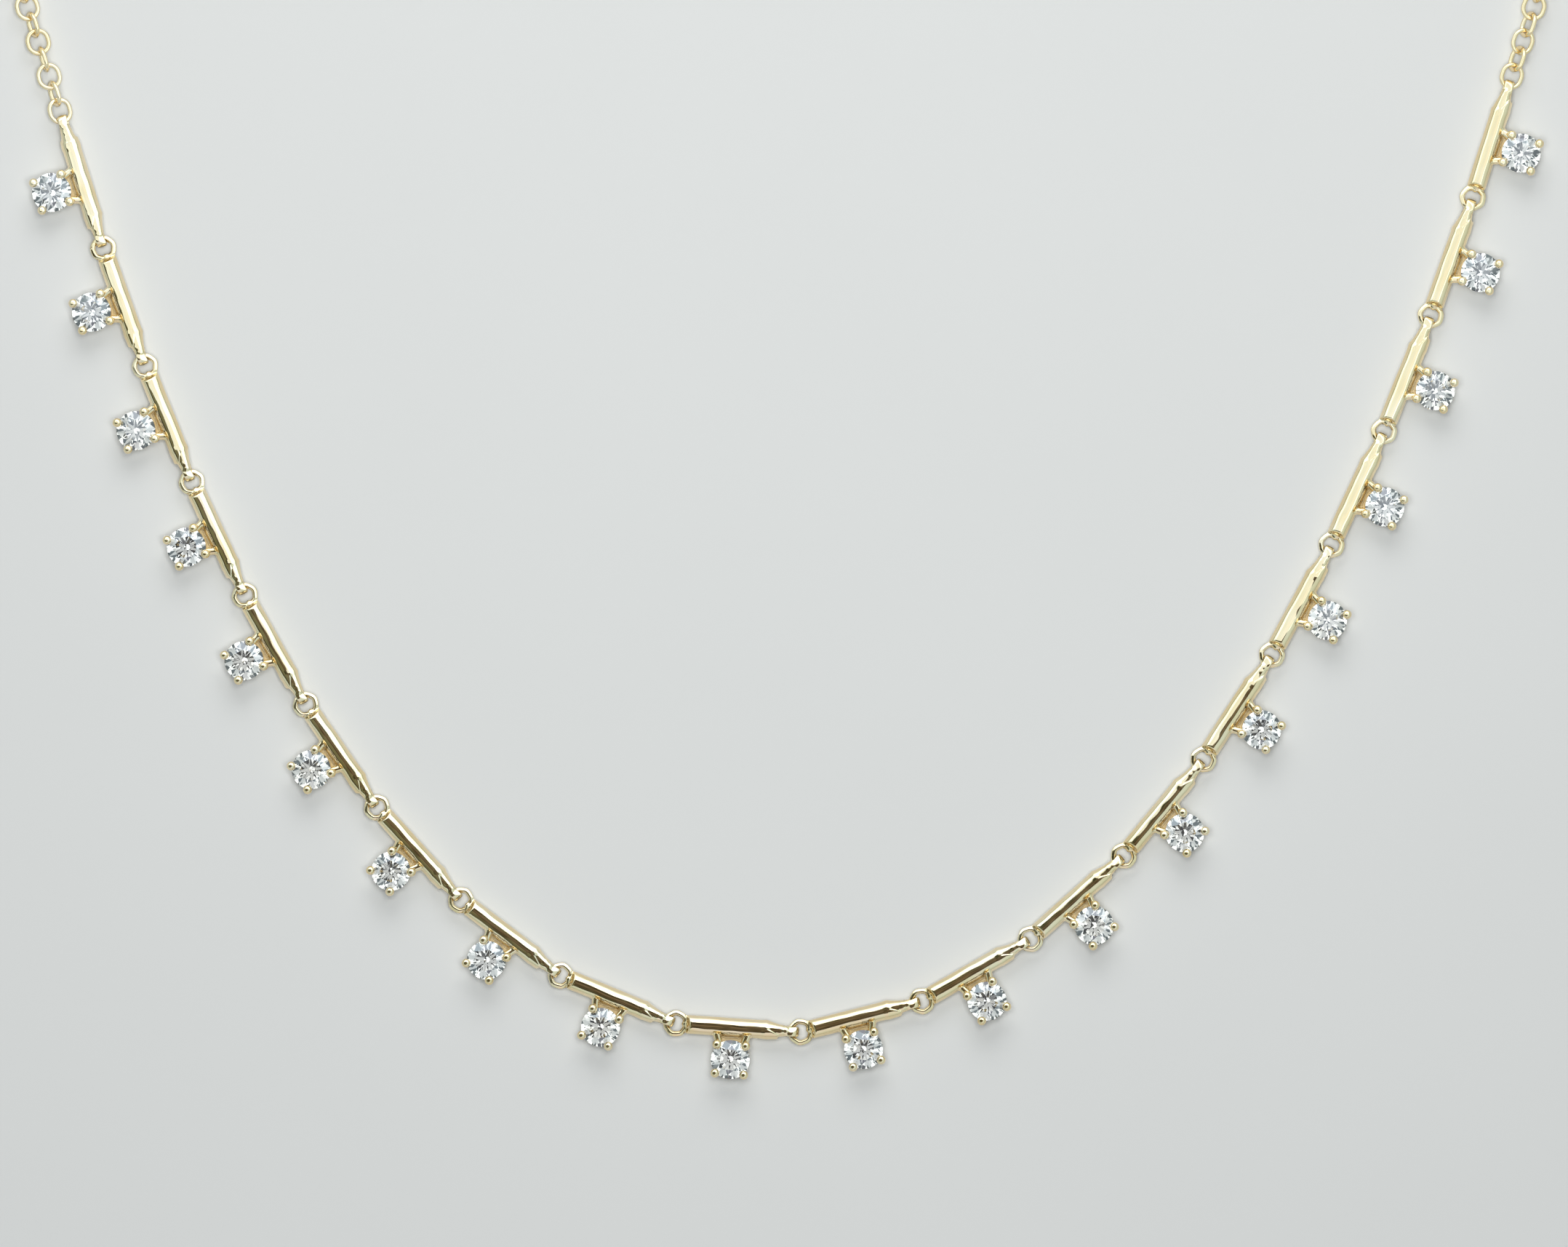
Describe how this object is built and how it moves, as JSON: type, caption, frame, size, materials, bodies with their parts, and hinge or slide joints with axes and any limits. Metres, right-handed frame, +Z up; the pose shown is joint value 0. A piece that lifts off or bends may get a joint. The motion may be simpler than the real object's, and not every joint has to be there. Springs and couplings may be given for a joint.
{
  "type": "station necklace",
  "caption": "Closed fine-chain necklace whose front is a row of short bar links, each with one round stone in a four-prong head, joined ring to hook and closed by a ring clasp.",
  "frame": {"origin": "on the surface that the necklace lies on, under the middle of its outline", "axes": "+Z up, the way the stones face; +Y from the lowest station towards the clasp; +X to the right as the stones are looked at"},
  "size_m": [0.1084, 0.1556, 0.0018],
  "materials": {
    "gold": "polished pale yellow gold",
    "stone": "faceted, polished, colourless"
  },
  "bodies": {
    "root": {"station_01": "gold", "station_02": "gold", "station_03": "gold", "station_04": "gold", "station_05": "gold", "station_06": "gold", "station_07": "gold", "station_08": "gold", "station_09": "gold", "station_10": "gold", "station_11": "gold", "station_12": "gold", "station_13": "gold", "station_14": "gold", "station_15": "gold", "station_16": "gold", "station_17": "gold", "station_18": "gold", "station_19": "gold", "station_20": "gold", "stone_01": "stone", "stone_02": "stone", "stone_03": "stone", "stone_04": "stone", "stone_05": "stone", "stone_06": "stone", "stone_07": "stone", "stone_08": "stone", "stone_09": "stone", "stone_10": "stone", "stone_11": "stone", "stone_12": "stone", "stone_13": "stone", "stone_14": "stone", "stone_15": "stone", "stone_16": "stone", "stone_17": "stone", "stone_18": "stone", "stone_19": "stone", "stone_20": "stone", "chain_left_front": "gold", "chain_left_back": "gold", "chain_right_front": "gold", "chain_right_back": "gold", "clasp": "gold", "end_ring": "gold"}
  },
  "joints": []
}
